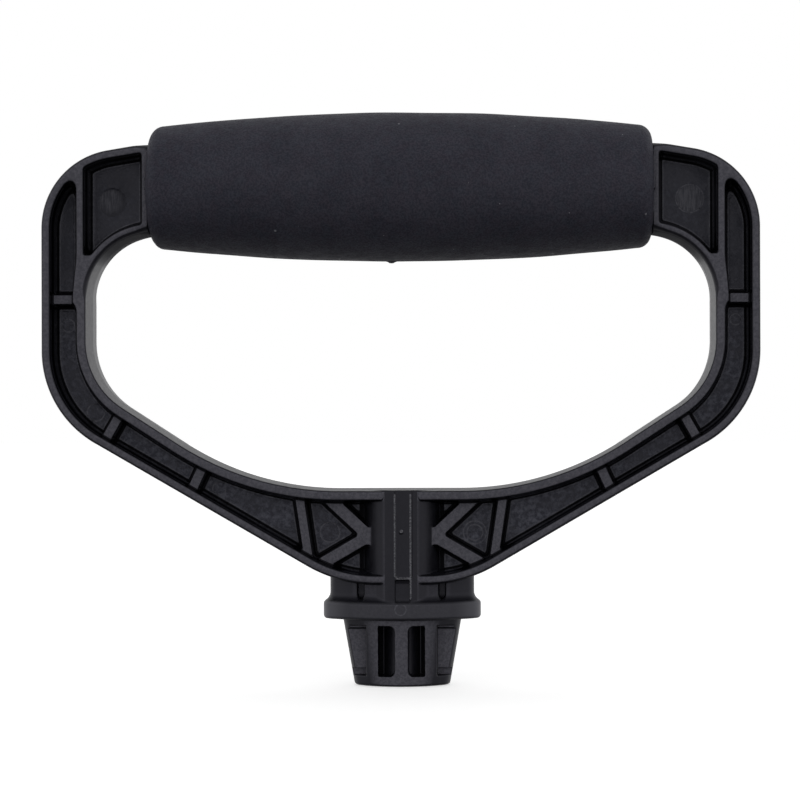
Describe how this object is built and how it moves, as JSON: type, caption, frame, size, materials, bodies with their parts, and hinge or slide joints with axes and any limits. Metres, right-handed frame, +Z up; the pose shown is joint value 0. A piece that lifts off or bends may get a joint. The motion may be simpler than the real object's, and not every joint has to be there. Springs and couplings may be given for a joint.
{
  "type": "d-shaped pull handle",
  "caption": "D-shaped pull handle: a ribbed plastic loop with a barrel-shaped foam grip, a central boss, and an oval flange with a tapered oval plug below it.",
  "frame": {"origin": "on the plug's axis, at the flange's underside, where the handle seats", "axes": "+X along the grip, +Y through the handle from front to back, +Z up from the plug to the grip"},
  "size_m": [0.181, 0.0378, 0.1454],
  "materials": {
    "moulded_plastic": "satin moulded black",
    "foam": "matt black integral-skin foam"
  },
  "bodies": {
    "root": {"handle_frame": "moulded_plastic", "foam_grip": "foam"}
  },
  "joints": []
}
